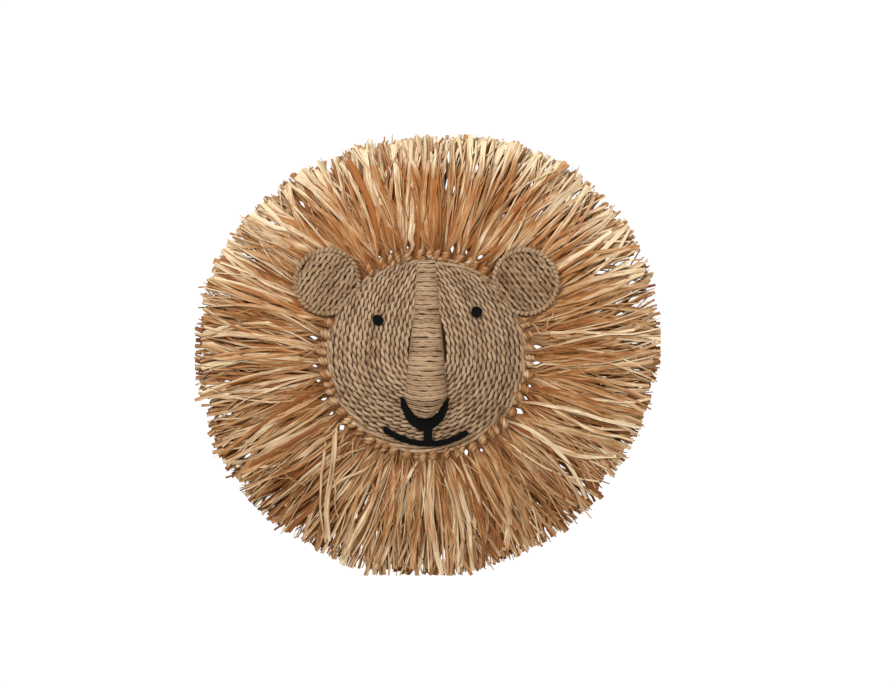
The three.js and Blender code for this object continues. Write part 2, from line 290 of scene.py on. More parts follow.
def paperCordMaterial():
    material, wire, shader = newMaterial("twisted_paper_cord")
    tone, along, around = strandValues(wire)
    look = paperCordLook
    place = wire.make("ShaderNodeCombineXYZ", {}, {      # the tone moves each strand to fibres of its own
        "X": around * look["fibresRound"] + along * look["fibreTwist"] + tone * 71,
        "Y": along * look["fibresAlong"] + tone * 13,
        "Z": tone * 37,
    })
    fibre = textured(wire, place, look["fibreScale"], 3)
    patch = textured(wire, wire.make("ShaderNodeTexCoord", output="Object"), look["patchScale"], 2)
    light = (fibre - 0.5) * look["fibreShare"] + (tone - 0.5) * look["toneShare"]
    light = light + (patch - 0.5) * look["patchShare"] + 0.5
    colour = wire.make("ShaderNodeValToRGB", {"stops": [
        (0.0, look["shade"]),
        (look["bodyAt"], look["body"]),
        (1.0, look["light"]),
    ]}, {0: light})
    # painted shade: a cord's colour goes towards the hollow colour with its depth in the weave
    hollow = ranged(wire, paintedShadeSeenFromFront(wire), look["hollowFrom"], look["hollowTo"])
    colour = tint(wire, hollow, colour, look["hollow"])
    finishMaterial(wire, shader, colour, fibre, look)
    return material


raffiaLook = {
    # painted shade, low in the mane between the knots
    "root": (0.100, 0.036, 0.011, 1),
    "deep": (0.215, 0.073, 0.019, 1),
    "gold": (0.440, 0.230, 0.093, 1),
    "straw": (0.610, 0.452, 0.284, 1),
    "palest": (0.790, 0.645, 0.430, 1),
    "goldAt": 0.38, "strawAt": 0.78,
    "glow": (0.370, 0.130, 0.032, 1),         # where light comes through, towards the top
    "glowShare": 0.8,
    "streaksRound": 3.5, "streaksAlong": 0.022, "streakScale": 2, "streakRoughness": 0.65,
    "patchScale": 18,
    "streakShare": 2.4, "toneShare": 1.1, "patchShare": 0.7,
    "base": 0.15,                             # the lightness that all of these are added to
    "rootLength": 55, "rootShare": 0.12,      # mm along a strip over which its painted shade near the root lifts
    "tipStart": 80, "tipLength": 50,          # where it starts to pale towards the tip, and over how far
    "tipShare": 0.14, "paintedLitTipShare": 0.58,
    "paintedLightLow": -0.3, "paintedLightHigh": 0.1,           # heights, in metres, between which painted light makes it lighter
    "shadeLow": 0.12,                         # painted shade: how much darker the lowest part is
    "relief": 0.6, "roughness": 0.72, "sheen": 0.15,
}


def raffiaMaterial():
    material, wire, shader = newMaterial("dry_raffia")
    tone, along, around = strandValues(wire)
    look = raffiaLook
    place = wire.make("ShaderNodeCombineXYZ", {}, {      # the tone moves each strip to streaks of its own
        "X": around * look["streaksRound"] + tone * 83,
        "Y": along * look["streaksAlong"] + tone * 29,
        "Z": tone * 41,
    })
    streak = textured(wire, place, look["streakScale"], 5, look["streakRoughness"])
    objectPlace = wire.make("ShaderNodeTexCoord", output="Object")
    patch = textured(wire, objectPlace, look["patchScale"], 2)
    # painted light: the mane is coloured lighter towards the top, its tips most, and darker low down
    height = wire.make("ShaderNodeSeparateXYZ", {}, {0: objectPlace}, output="Z")
    paintedTopLight = ranged(wire, height, look["paintedLightLow"], look["paintedLightHigh"])
    # painted shade: a strip is coloured darker near its root, inside the mane
    pale = ranged(wire, along, 0, look["rootLength"])
    # strips get paler towards their tips; near the top this is painted light
    tipward = ranged(wire, along, look["tipStart"], look["tipStart"] + look["tipLength"])
    light = (streak - 0.5) * look["streakShare"] + (tone - 0.5) * look["toneShare"]
    light = light + (patch - 0.5) * look["patchShare"] + pale * look["rootShare"]
    light = light + tipward * look["tipShare"] + tipward * paintedTopLight ** 3 * look["paintedLitTipShare"]
    light = light + look["base"]
    colour = wire.make("ShaderNodeValToRGB", {"stops": [
        (0.0, look["deep"]),
        (look["goldAt"], look["gold"]),
        (look["strawAt"], look["straw"]),
        (1.0, look["palest"]),
    ]}, {0: light})
    colour = tint(wire, paintedTopLight ** 2 * (1 - light) * look["glowShare"], colour, look["glow"])
    # painted shade low in the mane, towards the root colour
    colour = tint(wire, paintedShadeSeenFromFront(wire), colour, look["root"])
    colour = wire.make("ShaderNodeVectorMath", {"operation": "SCALE"}, {
        "Vector": colour,
        "Scale": paintedTopLight * look["shadeLow"] + (1 - look["shadeLow"]),
    })
    finishMaterial(wire, shader, colour, streak, look)
    return material


feltLook = {
    "dark": (0.0012, 0.0013, 0.0015, 1),
    "pale": (0.0050, 0.0053, 0.0058, 1),
    "fluffScale": 1900, "cloudScale": 260,
    "cloudShare": 0.3,
    "relief": 0.7, "roughness": 1.0, "sheen": 0.12,
}


def feltMaterial():
    material, wire, shader = newMaterial("black_wool_felt")
    objectPlace = wire.make("ShaderNodeTexCoord", output="Object")
    fluff = textured(wire, objectPlace, feltLook["fluffScale"], 4)
    cloud = textured(wire, objectPlace, feltLook["cloudScale"], 2)
    greyness = fluff * (1 - feltLook["cloudShare"]) + cloud * feltLook["cloudShare"]
    colour = tint(wire, greyness, feltLook["dark"], feltLook["pale"])
    finishMaterial(wire, shader, colour, fluff + cloud, feltLook)
    return material


paperCord = paperCordMaterial()
raffia = raffiaMaterial()
felt = feltMaterial()
print("materials are made")


# Strands: curves swept with a section, turned into one closed mesh

def newSection(name, corners):
    curve = bpy.data.curves.new(name, "CURVE")
    curve.dimensions = "2D"
    spline = curve.splines.new("POLY")
    spline.points.add(len(corners) - 1)
    for point, (across, out) in zip(spline.points, corners):
        point.co = (across, out, 0, 1)
    spline.use_cyclic_u = True
    return addObject(name, curve)


roundCorners = [(math.cos(turn * math.pi / 4), math.sin(turn * math.pi / 4)) for turn in range(8)]
sections = {
    "round": newSection("roundSection", roundCorners),
    "pair": newSection("pairSection", [       # a doubled cord, with a groove down its front and back
        (1, 0), (0.62, 0.48), (0, 0.36), (-0.62, 0.48),
        (-1, 0), (-0.62, -0.48), (0, -0.36), (0.62, -0.48),
    ]),
    "flat": newSection("flatSection", [       # three shapes that a raffia strip dries to
        (-1, 0.02), (-0.3, 0.12), (0.45, 0.07), (1, 0.1), (0.4, -0.05), (-0.35, -0.01),
    ]),
    "cupped": newSection("cuppedSection", [
        (-1, -0.1), (-0.6, 0.28), (0.1, 0.42), (0.75, 0.2),
        (1, -0.2), (0.6, 0.1), (0.05, 0.28), (-0.5, 0.15),
    ]),
    "folded": newSection("foldedSection", [
        (-1, -0.2), (-0.1, 0.5), (0.15, 0.46), (1, -0.05), (0.1, 0.3), (-0.85, -0.32),
    ]),
}


def appliedMesh(carrier):
    # the mesh that a helper's sweep or modifiers give; the helper goes
    mesh = bpy.data.meshes.new_from_object(carrier.evaluated_get(bpy.context.evaluated_depsgraph_get()))
    bpy.data.objects.remove(carrier)
    return mesh


def meshOfStrands(strands, section, twist="Z_UP"):
    curve = bpy.data.curves.new("strands", "CURVE")
    curve.dimensions = "3D"
    curve.twist_mode = twist
    curve.bevel_mode = "OBJECT"
    curve.bevel_object = section
    closed = strands[0].get("closed", False)
    curve.use_fill_caps = not closed
    for strand in strands:
        count = len(strand["path"])
        spline = curve.splines.new("POLY")
        spline.points.add(count - 1)
        spline.points.foreach_set("co", np.column_stack([strand["path"], np.ones(count)]).ravel())
        spline.points.foreach_set("radius", np.broadcast_to(strand["size"], count).astype(float))
        spline.points.foreach_set("tilt", np.broadcast_to(strand.get("tilt", 0.0), count).astype(float))
        spline.use_cyclic_u = closed
    mesh = appliedMesh(addObject("strands", curve))

    corners = len(section.data.splines[0].points)
    tones, along = [], []
    for strand in strands[::-1] if not closed else []:      # the end caps come first, last strand first
        length = pathLength(strand["path"])[-1]
        tones.append(np.full(2 * corners, strand["tone"]))
        along.append(np.repeat([length, 0], corners))
    for strand in strands:
        tones.append(np.full(len(strand["path"]) * corners, strand["tone"]))
        along.append(np.repeat(pathLength(strand["path"]), corners))
    for name, values in (("tone", tones), ("along", along)):
        attribute = mesh.attributes.new(name, "FLOAT", "POINT")
        attribute.data.foreach_set("value", np.concatenate(values).astype(np.float32))
    return mesh


def pathLength(path):
    steps = np.linalg.norm(np.diff(path, axis=0), axis=1)
    return np.concatenate([[0], np.cumsum(steps)])


def vertexPlaces(mesh):
    points = np.empty(len(mesh.vertices) * 3)
    mesh.vertices.foreach_get("co", points)
    return points.reshape(-1, 3)


def moveVertices(mesh, place):
    mesh.vertices.foreach_set("co", place(vertexPlaces(mesh)).ravel())
    mesh.update()


cadLow, cadHigh = (corner / millimetre for corner in cadBounds)
wallGap = 0.1


def withinSolids(points):
    # keeps the piece inside the outer box of the solids and in front of the wall
    low = np.array([cadLow.x - head["x"], cadLow.z - head["y"], wallGap])
    high = np.array([cadHigh.x - head["x"], cadHigh.z - head["y"], -cadLow.y])
    return np.clip(points, low, high)


def finishPiece(name, meshes, material, nodes, sharpAngle=60):
    # joins flat meshes into one piece, closes its end caps and stands it up on the wall
    joined = bmesh.new()
    for mesh in meshes:
        moveVertices(mesh, withinSolids)
    for mesh in meshes:
        joined.from_mesh(mesh)
        bpy.data.meshes.remove(mesh)
    bmesh.ops.remove_doubles(joined, verts=joined.verts, dist=1e-5)
    bmesh.ops.recalc_face_normals(joined, faces=joined.faces)
    toWall = Matrix.Scale(millimetre, 4) @ Matrix.Rotation(math.pi / 2, 4, "X")
    toWall = toWall @ Matrix.Translation((head["x"], head["y"], 0))
    bmesh.ops.transform(joined, matrix=toWall, verts=joined.verts)
    mesh = bpy.data.meshes.new(name)
    joined.to_mesh(mesh)
    joined.free()
    mesh.set_sharp_from_angle(angle=math.radians(sharpAngle))
    mesh.materials.clear()
    mesh.materials.append(material)
    piece = addObject(name, mesh)
    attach(piece, "root")
    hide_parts(*nodes)
    return piece


def evenPath(path, count):
    # the same path with evenly spaced points
    length = pathLength(path)
    stations = np.linspace(0, length[-1], count)
    return np.column_stack([np.interp(stations, length, axis) for axis in path.T])


def sideways(path):
    # unit vectors to the left of the path, in the flat
    ahead = np.gradient(path[:, :2], axis=0)
    ahead /= np.linalg.norm(ahead, axis=1)[:, None]
    return np.column_stack([-ahead[:, 1], ahead[:, 0]])


def wander(values, seed, scale, height):
    # slow, smooth unevenness of handwork
    return np.array([height * noise.noise((value / scale, seed * 7.31, seed * 1.7)) for value in values])


# Nose outline, which the cheeks stop at

nose = {
    "end": 0.657,           # share of the ring's half height below the middle
    "topX": 0.3, "topWidth": 19,
    "tipX": -1.6, "width": 43.5, "tipLength": 20.6,
    "swerve": 4,            # how late its middle leaves the top's place for the tip's
    "spread": 1.35,         # how late it widens
    "tipTaper": 0.92,       # 1 would end the tip in a point
    "topRise": 2, "rise": 15,
    "aboveRing": 2.1,
    "wrapPitch": 4.6,       # of a doubled cord
    "bow": 7,               # how far a turn dips in front, near the tip
    "loopStations": 36,
    "behind": 2.4,          # how far a turn goes back behind the weave
    "lowestBack": 1.6,      # and how near the wall it may come
    "coreInset": 1.2, "coreHalf": 1.7,
    "cordPaintedShade": 0.12, "corePaintedShade": 0.56,      # painted shade on the cord, and more on the core that shows between its turns
    "endTurns": 3, "endHalf": 1.25,
    # unevenness of handwork: over how many millimetres, and how much
    "pitchWander": (7, 1.3), "sizeWander": (4, 0.28),
}
nose["top"] = head["halfHeight"] + nose["aboveRing"]         # heights are from the head's middle
nose["tipStart"] = nose["tipLength"] - nose["end"] * head["halfHeight"]
nose["lowest"] = nose["tipStart"] - nose["tipLength"]
nose["length"] = nose["top"] - nose["tipStart"]


def downNose(y):
    # 0 at the top and 1 from where the tip starts
    return np.clip((nose["top"] - y) / nose["length"], 0, 1)


def noseMiddle(y):
    share = np.clip((nose["top"] - y) / (nose["length"] + nose["tipLength"]), 0, 1)
    return mix(nose["topX"], nose["tipX"], share ** nose["swerve"])


def noseFullness(y):
    tip = np.clip((nose["tipStart"] - y) / nose["tipLength"], 0, 1)
    return np.sqrt(1 - nose["tipTaper"] * tip)


def noseHalf(y):
    return mix(nose["topWidth"], nose["width"], downNose(y) ** nose["spread"]) / 2 * noseFullness(y)


def noseRise(y):
    return mix(nose["topRise"], nose["rise"], downNose(y)) * noseFullness(y)


def insideNose(x, y, grow):
    beside = np.abs(x - noseMiddle(y)) < noseHalf(y) + grow
    return beside & (y > nose["lowest"] - grow)


# Woven face: twined rows from the ring's top round under the nose and up again

weave = {
    "rows": 17,
    "innerAcross": 20.3, "outerAcross": 96,     # from the middle to the first and last rows
    "innerDown": 22, "outerDown": 91,
    "up": 97,
    "lean": 0.0043,           # rows bend in over the top with the square of their height
    "rightGap": 2.0,          # the first rows on the right stand off from the nose
    "strokeLength": 9.6,      # between the places where the two cords of a row change over
    "stationsEach": 7,
    "pitch": 4.7,
    "cordHalfWidth": 1.85,
    "sway": 0.95,             # how far a cord swings to each side of its row
    "weaveDepth": 1.05,       # how far it comes forward and goes back
    "reach": 1.0,             # where rows end, outside the ring's middle
    "roll": 0.3,              # how far a cord turns about itself as it crosses over
    "sideShade": 0.4,         # painted shade: how much darker a cord is coloured towards its sides
    # unevenness of handwork: over how many crossings, and how much
    "phaseWander": (2.5, 1.2), "driftWander": (1.6, 0.6), "depthWander": (1.2, 0.5),
    "sizeWander": (1.1, 0.2), "rollWander": (0.9, 0.4),
    "backHalf": 2.3, "backDepth": 2.2,      # of the cords on the back: half width, and depth below the rows
    "noseSeam": [(-0.8, 1.2), (2.4, 2.4), (5.2, 2.6)],      # cords beside the nose: offset and depth below
    "noseSeamHalf": 2.0,
}
weave["middleDepth"] = -(weave["weaveDepth"] + weave["cordHalfWidth"] * 0.45)


def frontness(spin):
    # a cord is at its widest where it comes in front and at its narrowest behind
    return 0.8 + 0.2 * np.cos(spin)


def rowPoints(row, turn):
    # a row runs down the left side, under the nose and up the right side as turn goes from -pi to pi
    share = row / (weave["rows"] - 1)
    across = mix(weave["innerAcross"], weave["outerAcross"], share)
    down = mix(weave["innerDown"], weave["outerDown"], share)
    below = np.abs(turn) < math.pi / 2
    y = -np.cos(turn) * np.where(below, down, weave["up"])
    half = np.where(below, across * np.abs(np.sin(turn)), across - weave["lean"] * y ** 2)
    x = np.sign(turn) * np.maximum(half, 0) + np.where(turn > 0, weave["rightGap"] * (1 - share) ** 2, 0)
    return np.column_stack([x, y])


def rowTurns(row):
    # evenly spaced places along the part of a row that lies inside the ring
    turn = np.linspace(-math.pi * 0.995, math.pi * 0.995, 900)
    points = rowPoints(row, turn)
    edge = (head["halfWidth"] + weave["reach"], head["halfHeight"] + weave["reach"])
    inRing = np.hypot(points[:, 0] / edge[0], points[:, 1] / edge[1]) < 1
    middle = len(turn) // 2
    first = middle - np.argmin(np.append(inRing[:middle][::-1], False))
    last = middle + np.argmin(np.append(inRing[middle:], False))
    length = pathLength(points[first:last])
    count = round(length[-1] / weave["strokeLength"] * weave["stationsEach"]) + 1
    return np.interp(np.linspace(0, length[-1], count), length, turn[first:last])


def rowStrands():
    # two cords to a row, each in front of the other in turn
    strands = []
    generator = random.Random(11)
    for row in range(weave["rows"]):
        turn = rowTurns(row)
        path = rowPoints(row, turn)
        left = sideways(path)
        gap = np.abs(((rowPoints(row + 0.5, turn) - rowPoints(row - 0.5, turn)) * left).sum(1))
        snug = np.clip(gap / weave["pitch"], 0.6, 1.05)
        stations = np.arange(len(path)) / weave["stationsEach"]
        stagger = math.pi / 2 * (row % 2) + generator.uniform(-0.8, 0.8)
        phase = math.pi * stations + stagger + wander(stations, row, *weave["phaseWander"])
        drift = wander(stations, row + 50, *weave["driftWander"])
        for side in (0, math.pi):
            spin = phase + side
            lateral = weave["sway"] * snug * np.sin(spin) + drift
            depth = weave["weaveDepth"] * np.cos(spin)
            depth = depth + wander(stations, row + side + 70, *weave["depthWander"])
            points = np.column_stack([path + left * lateral[:, None], weave["middleDepth"] + depth])
            uneven = 1 + wander(stations, row + side + 90, *weave["sizeWander"])
            size = weave["cordHalfWidth"] * snug * frontness(spin) * uneven
            tilt = weave["roll"] * np.sin(spin) + wander(stations, row + side + 30, *weave["rollWander"])
            hidden = insideNose(points[:, 0], points[:, 1], -2.5)
            tone = generator.random()
            for run in runs(~hidden, weave["stationsEach"]):
                strands.append({"path": points[run], "size": size[run], "tilt": tilt[run], "tone": tone})
    return strands


def runs(keep, least):
    # slices of the stretches where keep holds
    edges = np.flatnonzero(np.diff(np.concatenate([[0], keep.astype(int), [0]])))
    return [slice(a, b) for a, b in zip(edges[::2], edges[1::2]) if b - a >= least]


def backStrands():
    # the cords on the back of the weave, seen between the rows, where painted shade makes them the dark
    # ground
    strands = []
    generator = random.Random(8)
    for row in range(weave["rows"] - 1):
        path = evenPath(rowPoints(row + 0.5, rowTurns(row + 0.5)), 120)
        points = np.column_stack([path, np.full(len(path), weave["middleDepth"] - weave["backDepth"])])
        for run in runs(~insideNose(path[:, 0], path[:, 1], -1), 4):
            strands.append({"path": points[run], "size": weave["backHalf"], "tone": generator.random()})
    y = np.linspace(nose["top"] - 6, nose["tipStart"] - nose["tipLength"] * 0.7, 60)
    for side in (-1, 1):
        for offset, below in weave["noseSeam"]:      # these hold the weave to the nose
            x = noseMiddle(y) + side * (noseHalf(y) + offset)
            points = np.column_stack([x, y, np.full(len(y), weave["middleDepth"] - below)])
            strands.append({"path": points, "size": weave["noseSeamHalf"], "tone": generator.random()})
    return strands


def setDepth(mesh, values):
    attribute = mesh.attributes.new("depth", "FLOAT", "POINT")
    attribute.data.foreach_set("value", np.broadcast_to(values, len(mesh.vertices)).astype(np.float32))


def markDepth(mesh, front, back, sideShade=0.0):
    # how deep a point lies in its weave, from 0 in front to 1 behind, plus painted shade on a cord's sides;
    # this sets how much painted shade it gets
    depth = np.clip((front - vertexPlaces(mesh)[:, 2]) / (front - back), 0, 1)
    onSide = np.arange(len(depth)) % 4 == 0      # the first and fifth of a section's eight corners
    setDepth(mesh, depth + sideShade * onSide)


def makeWovenFace():
    rows = meshOfStrands(rowStrands(), sections["pair"])
    back = meshOfStrands(backStrands(), sections["round"])
    for mesh, sideShade in ((rows, weave["sideShade"]), (back, 0)):
        # painted shade: rows go darker into the gaps, the back cords darkest
        markDepth(mesh, 0, 2 * weave["middleDepth"], sideShade)
        moveVertices(mesh, ontoDome)
    return finishPiece("woven_face", [rows, back], paperCord, ["face_weave"])


makeWovenFace()
print("the face is woven")


# Ring: three cords laid round the wire, over the ends of the rows

ringCord = {
    "strands": 3, "half": 1.75, "turns": 5, "stations": 260,
    "across": 2.9, "out": 1.4,          # how far the strands swing sideways and in and out
    "uneven": 0.07,
    "lift": 2.9,
    "bare": [(70, 20), (262, 48)],      # where it shows over the rows: direction and half spread
    "bareFade": 10, "bareLift": 2.2,
    "lashing": [-4.6, -1.6, 1.4],       # the wire and what ties the rows to it, from the ring's middle
    "lashingHalf": 2.3, "lashingHeight": 2.5,
    "darkAt": 0, "lightAt": 7.5,        # heights between which its painted shade lifts, darkest near the wall
}


def makeRingCord():
    turn = np.linspace(0, 2 * math.pi, ringCord["stations"], endpoint=False)
    strands = []
    for number in range(ringCord["strands"]):
        lay = 2 * math.pi * number / ringCord["strands"] + ringCord["turns"] * turn + 0.6 * np.sin(3 * turn)
        reach = ringReach(turn) + ringCord["across"] * np.cos(lay)
        bare = sum(
            smooth((spread - np.abs(np.degrees(turn) - way)) / ringCord["bareFade"])
            for way, spread in ringCord["bare"]
        )
        z = ringCord["lift"] + ringCord["out"] * np.sin(lay) + ringCord["bareLift"] * bare
        path = np.column_stack([reach * np.cos(turn), reach * np.sin(turn), z])
        size = ringCord["half"] * (1 + ringCord["uneven"] * np.sin(23 * turn + number))
        strands.append({"path": path, "size": size, "tone": 0.3 + 0.2 * number, "closed": True})
    for offset in ringCord["lashing"]:
        reach = ringReach(turn, offset)
        z = np.full_like(turn, ringCord["lashingHeight"])
        path = np.column_stack([reach * np.cos(turn), reach * np.sin(turn), z])
        strands.append({"path": path, "size": ringCord["lashingHalf"], "tone": 0.2, "closed": True})
    mesh = meshOfStrands(strands, sections["round"])
    # painted shade: the ring's cords are coloured darker low down, near the wall
    markDepth(mesh, ringCord["lightAt"], ringCord["darkAt"])
    return finishPiece("ring_cord", [mesh], paperCord, ["head_ring"])


makeRingCord()
print("the ring is wrapped")


# Nose: doubled cord wound crosswise over a core, bowing down towards the tip

def noseLoop(y, inset, size, bow):
    # one turn of cord round the nose, closed behind it
    middle = noseMiddle(y)
    half = np.maximum(noseHalf(y) - size - inset, 1.5)
    rise = np.maximum(noseRise(y) - size - inset, 0.3)
    turn = np.linspace(0, 2 * math.pi, nose["loopStations"], endpoint=False)
    x = middle + half * np.cos(turn)
    lower = y - bow * (1 - np.cos(turn) ** 2)
    front = faceFront(x, np.minimum(lower, head["halfHeight"]))
    over = np.sin(turn)
    z = front - 1 + np.where(over > 0, (rise + 1) * over, nose["behind"] * over)
    return np.column_stack([x, lower, np.maximum(z, nose["lowestBack"])])


def makeWrappedNose():
    generator = random.Random(21)
    strands, core = [], []
    spacing = nose["wrapPitch"] / 2
    lowest = nose["lowest"]
    count = int((nose["top"] + 3.9 - lowest - 2) / spacing)
    for number in range(count):
        y = nose["top"] + 2.6 - number * spacing
        y += (0.22 if number % 2 else -0.22) + generator.uniform(-0.1, 0.1)      # laid in pairs
        tip = np.clip((nose["top"] - y) / (nose["top"] - lowest), 0, 1)
        bow = min(nose["bow"] * tip ** 5, y - lowest - 0.5)
        size = spacing / 2 * generator.uniform(1.02, 1.2)
        tone = generator.random()
        path = noseLoop(y, generator.uniform(-0.25, 0.35), size, bow)
        path[:, 1] += wander(path[:, 0], number // 2 * 0.43, *nose["pitchWander"])
        size = size * (1 + wander(path[:, 0], number * 0.71, *nose["sizeWander"]))
        strands.append({"path": path, "size": size, "tone": tone, "closed": True})
        inner = noseLoop(y, nose["coreInset"], 1.4, bow)
        core.append({"path": inner, "size": nose["coreHalf"], "tone": tone, "closed": True})
    for end in range(nose["endTurns"]):      # smaller and smaller turns that close the end
        path = noseLoop(lowest + 1.2 - 0.2 * end, 0.3 + 1.3 * end, 1.2, 0)
        strands.append({"path": path, "size": nose["endHalf"], "tone": generator.random(), "closed": True})
    meshes = [
        meshOfStrands(strands, sections["round"], "MINIMUM"),
        meshOfStrands(core, sections["round"], "MINIMUM"),
    ]
    # painted shade: the core between the turns is coloured darker than the cord
    for mesh, depth in zip(meshes, (nose["cordPaintedShade"], nose["corePaintedShade"])):
        setDepth(mesh, depth)
    return finishPiece("wrapped_nose", meshes, paperCord, ["nose_bridge"])


makeWrappedNose()
print("the nose is wrapped")


# Ears: twined rows across a wire hoop with a wound rim, tilted forward

ear = {
    "radius": 35, "rim": 3.0, "tilt": 15, "overlap": 8, "lift": 1,
    "rowPitch": 4.4, "crossingPitch": 9.8, "cordHalfWidth": 1.9, "sway": 0.75, "weaveDepth": 0.9,
    "wrapPitch": 4.5, "wrapRadius": 1.9,
    "rowBow": 0.0016,         # rows bend a little round the hoop
    # unevenness of handwork: over how many millimetres, and how much
    "phaseWander": (12, 1.2), "driftWander": (8, 0.8), "sizeWander": (6, 0.2), "rollWander": (6, 0.4),
    "backHalf": 1.95, "backDepth": 1.9, "backStations": 14,
    "lightAt": 2.2, "darkAt": -3.2,      # heights in the disc between which the painted shade on its rows lifts
    "backShade": (0.55, 1.1), "rimShade": (0.6, 0.1),      # painted shade on the back cords and on the rim, from the middle of the disc outwards
    "overRing": 1.5,          # how far the weave laps the ring's middle
    "ringTop": 8.2,           # height at which it passes over the ring's cords
    "sides": {
        # the right ear's lower tone is painted shade, as it is turned from the light
        "left": {"direction": 143.5, "rows": 52, "tone": 0.3, "seed": 3},
        "right": {"direction": 36.5, "rows": -53, "tone": -0.2, "seed": 4},
    },
}


def earMatrix(side):
    # from the ear's own flat disc to its place on the head
    direction = math.radians(side["direction"])
    tilt = math.radians(ear["tilt"])
    reach = float(ringReach(direction)) + ear["radius"] - ear["overlap"]
    out = reach - float(ringReach(direction, head["ringRadius"]))
    hinge = Vector((math.sin(direction), -math.cos(direction), 0))
    height = 2 * head["ringRadius"] + ear["lift"] + out * math.tan(tilt)
    place = Matrix.Translation((reach * math.cos(direction), reach * math.sin(direction), height))
    return place @ Matrix.Rotation(tilt, 4, hinge)


def insideHead(points, grow):
    across = points[:, 0] / (head["halfWidth"] + grow)
    up = points[:, 1] / (head["halfHeight"] + grow)
    return np.hypot(across, up) < 1


def placed(matrix, points):
    turned = np.array(matrix.to_3x3())
    return points @ turned.T + np.array(matrix.translation)


def rowDirections(side):
    # along an ear's rows and across them
    turn = math.radians(side["rows"])
    return np.array([math.cos(turn), math.sin(turn)]), np.array([-math.sin(turn), math.cos(turn)])


def overTheRing(points):
    # lifts what would run into the ring's cords
    fromMiddle = np.hypot(points[:, 0], points[:, 1] * head["halfWidth"] / head["halfHeight"])
    nearness = smooth((head["halfWidth"] + 7 - fromMiddle) / 7)
    lifted = np.maximum(points[:, 2], ear["ringTop"] + 0.6 * (points[:, 2] - ear["ringTop"]))
    return np.column_stack([points[:, :2], mix(points[:, 2], lifted, nearness)])


def earStrands(side, matrix):
    generator = random.Random(side["seed"])
    ahead, left = rowDirections(side)
    inner = ear["radius"] - ear["rim"] * 1.3
    count = int(inner / ear["rowPitch"])
    strands = []
    for row in range(-count, count + 1):
        offset = row * ear["rowPitch"] + generator.uniform(-0.3, 0.3)
        half = math.sqrt(max(0, inner ** 2 - offset ** 2))
        if half < 4:
            continue
        stations = np.arange(-half, half, ear["crossingPitch"] / 8)
        bow = ear["rowBow"] * offset * (half ** 2 - stations ** 2) / half
        phase = math.pi * stations / ear["crossingPitch"] + generator.uniform(0, math.pi)
        phase = phase + wander(stations, row + 9 * side["seed"], *ear["phaseWander"])
        drift = wander(stations, row + 60, *ear["driftWander"])
        tone = side["tone"] + generator.uniform(-0.3, 0.3)
        for strand in (0, math.pi):
            spin = phase + strand
            lateral = offset + bow + ear["sway"] * np.sin(spin) + drift
            flat = stations[:, None] * ahead + lateral[:, None] * left
            points = np.column_stack([flat, ear["weaveDepth"] * np.cos(spin)])
            outside = ~insideHead(placed(matrix, points), -ear["overRing"])
            uneven = 1 + wander(stations, row + strand + 5, *ear["sizeWander"])
            size = ear["cordHalfWidth"] * frontness(spin) * uneven
            tilt = weave["roll"] * np.sin(spin) + wander(stations, row + strand + 25, *ear["rollWander"])
            for run in runs(outside, 8):
                strands.append({"path": points[run], "size": size[run], "tilt": tilt[run], "tone": tone})
    return strands


def earBackStrands(side, matrix):
    generator = random.Random(side["seed"] + 20)
    ahead, left = rowDirections(side)
    inner = ear["radius"] - ear["rim"] * 1.2
    strands = []
    for lateral in np.arange(-inner + 1, inner, ear["rowPitch"] * 0.8):
        half = math.sqrt(max(1, inner ** 2 - lateral ** 2))
        stations = np.linspace(-half, half, ear["backStations"])
        flat = stations[:, None] * ahead + lateral * left
        points = np.column_stack([flat, np.full(len(stations), -ear["backDepth"])])
        for run in runs(~insideHead(placed(matrix, points), -ear["overRing"]), 3):
            strands.append({"path": points[run], "size": ear["backHalf"], "tone": generator.random()})
    return strands


def earRimStrands(side, matrix):
    generator = random.Random(side["seed"] + 40)
    middle = ear["radius"] - ear["rim"]
    winds = int(2 * math.pi * middle / ear["wrapPitch"])
    turn = np.linspace(0, 2 * math.pi, winds * 10)
    wind = turn * winds + 1.2 * wander(turn * 30, side["seed"], 3, 1.0)
    bar = ear["rim"] - ear["wrapRadius"]
    reach = middle + bar * np.cos(wind)
    points = np.column_stack([reach * np.cos(turn), reach * np.sin(turn), bar * np.sin(wind)])
    size = ear["wrapRadius"] * (1 + wander(turn * 30, side["seed"] + 3, 1.2, 0.2))
    return [
        {"path": points[run], "size": size[run], "tone": generator.random()}
        for run in runs(~insideHead(placed(matrix, points), 0), 12)
    ]


def shareOut(mesh):
    # how far out each vertex of an ear's disc is, as a share of its radius
    places = vertexPlaces(mesh)
    return np.hypot(places[:, 0], places[:, 1]) / ear["radius"]


def makeEar(name, side):
    matrix = earMatrix(side)
    rows = meshOfStrands(earStrands(side, matrix), sections["pair"])
    back = meshOfStrands(earBackStrands(side, matrix), sections["round"])
    rim = meshOfStrands(earRimStrands(side, matrix), sections["round"], "MINIMUM")
    # painted shade: rows darker deep in the weave and at their sides, back cords darker outwards, the rim
    # darker where it meets the weave
    markDepth(rows, ear["lightAt"], ear["darkAt"], weave["sideShade"] * 0.7)
    setDepth(back, mix(*ear["backShade"], smooth((shareOut(back) - 0.45) / 0.35)))
    setDepth(rim, mix(*ear["rimShade"], smooth((shareOut(rim) - 0.835) / 0.06)))
    for mesh in (rows, back, rim):
        mesh.transform(matrix)
        moveVertices(mesh, overTheRing)
    return finishPiece(f"woven_{name}_ear", [rows, back, rim], paperCord, [f"{name}_ear"])


for earName, earSide in ear["sides"].items():
    makeEar(earName, earSide)
print("the ears are woven")


# Felt: cut shapes, fused and softened, laid on the weave

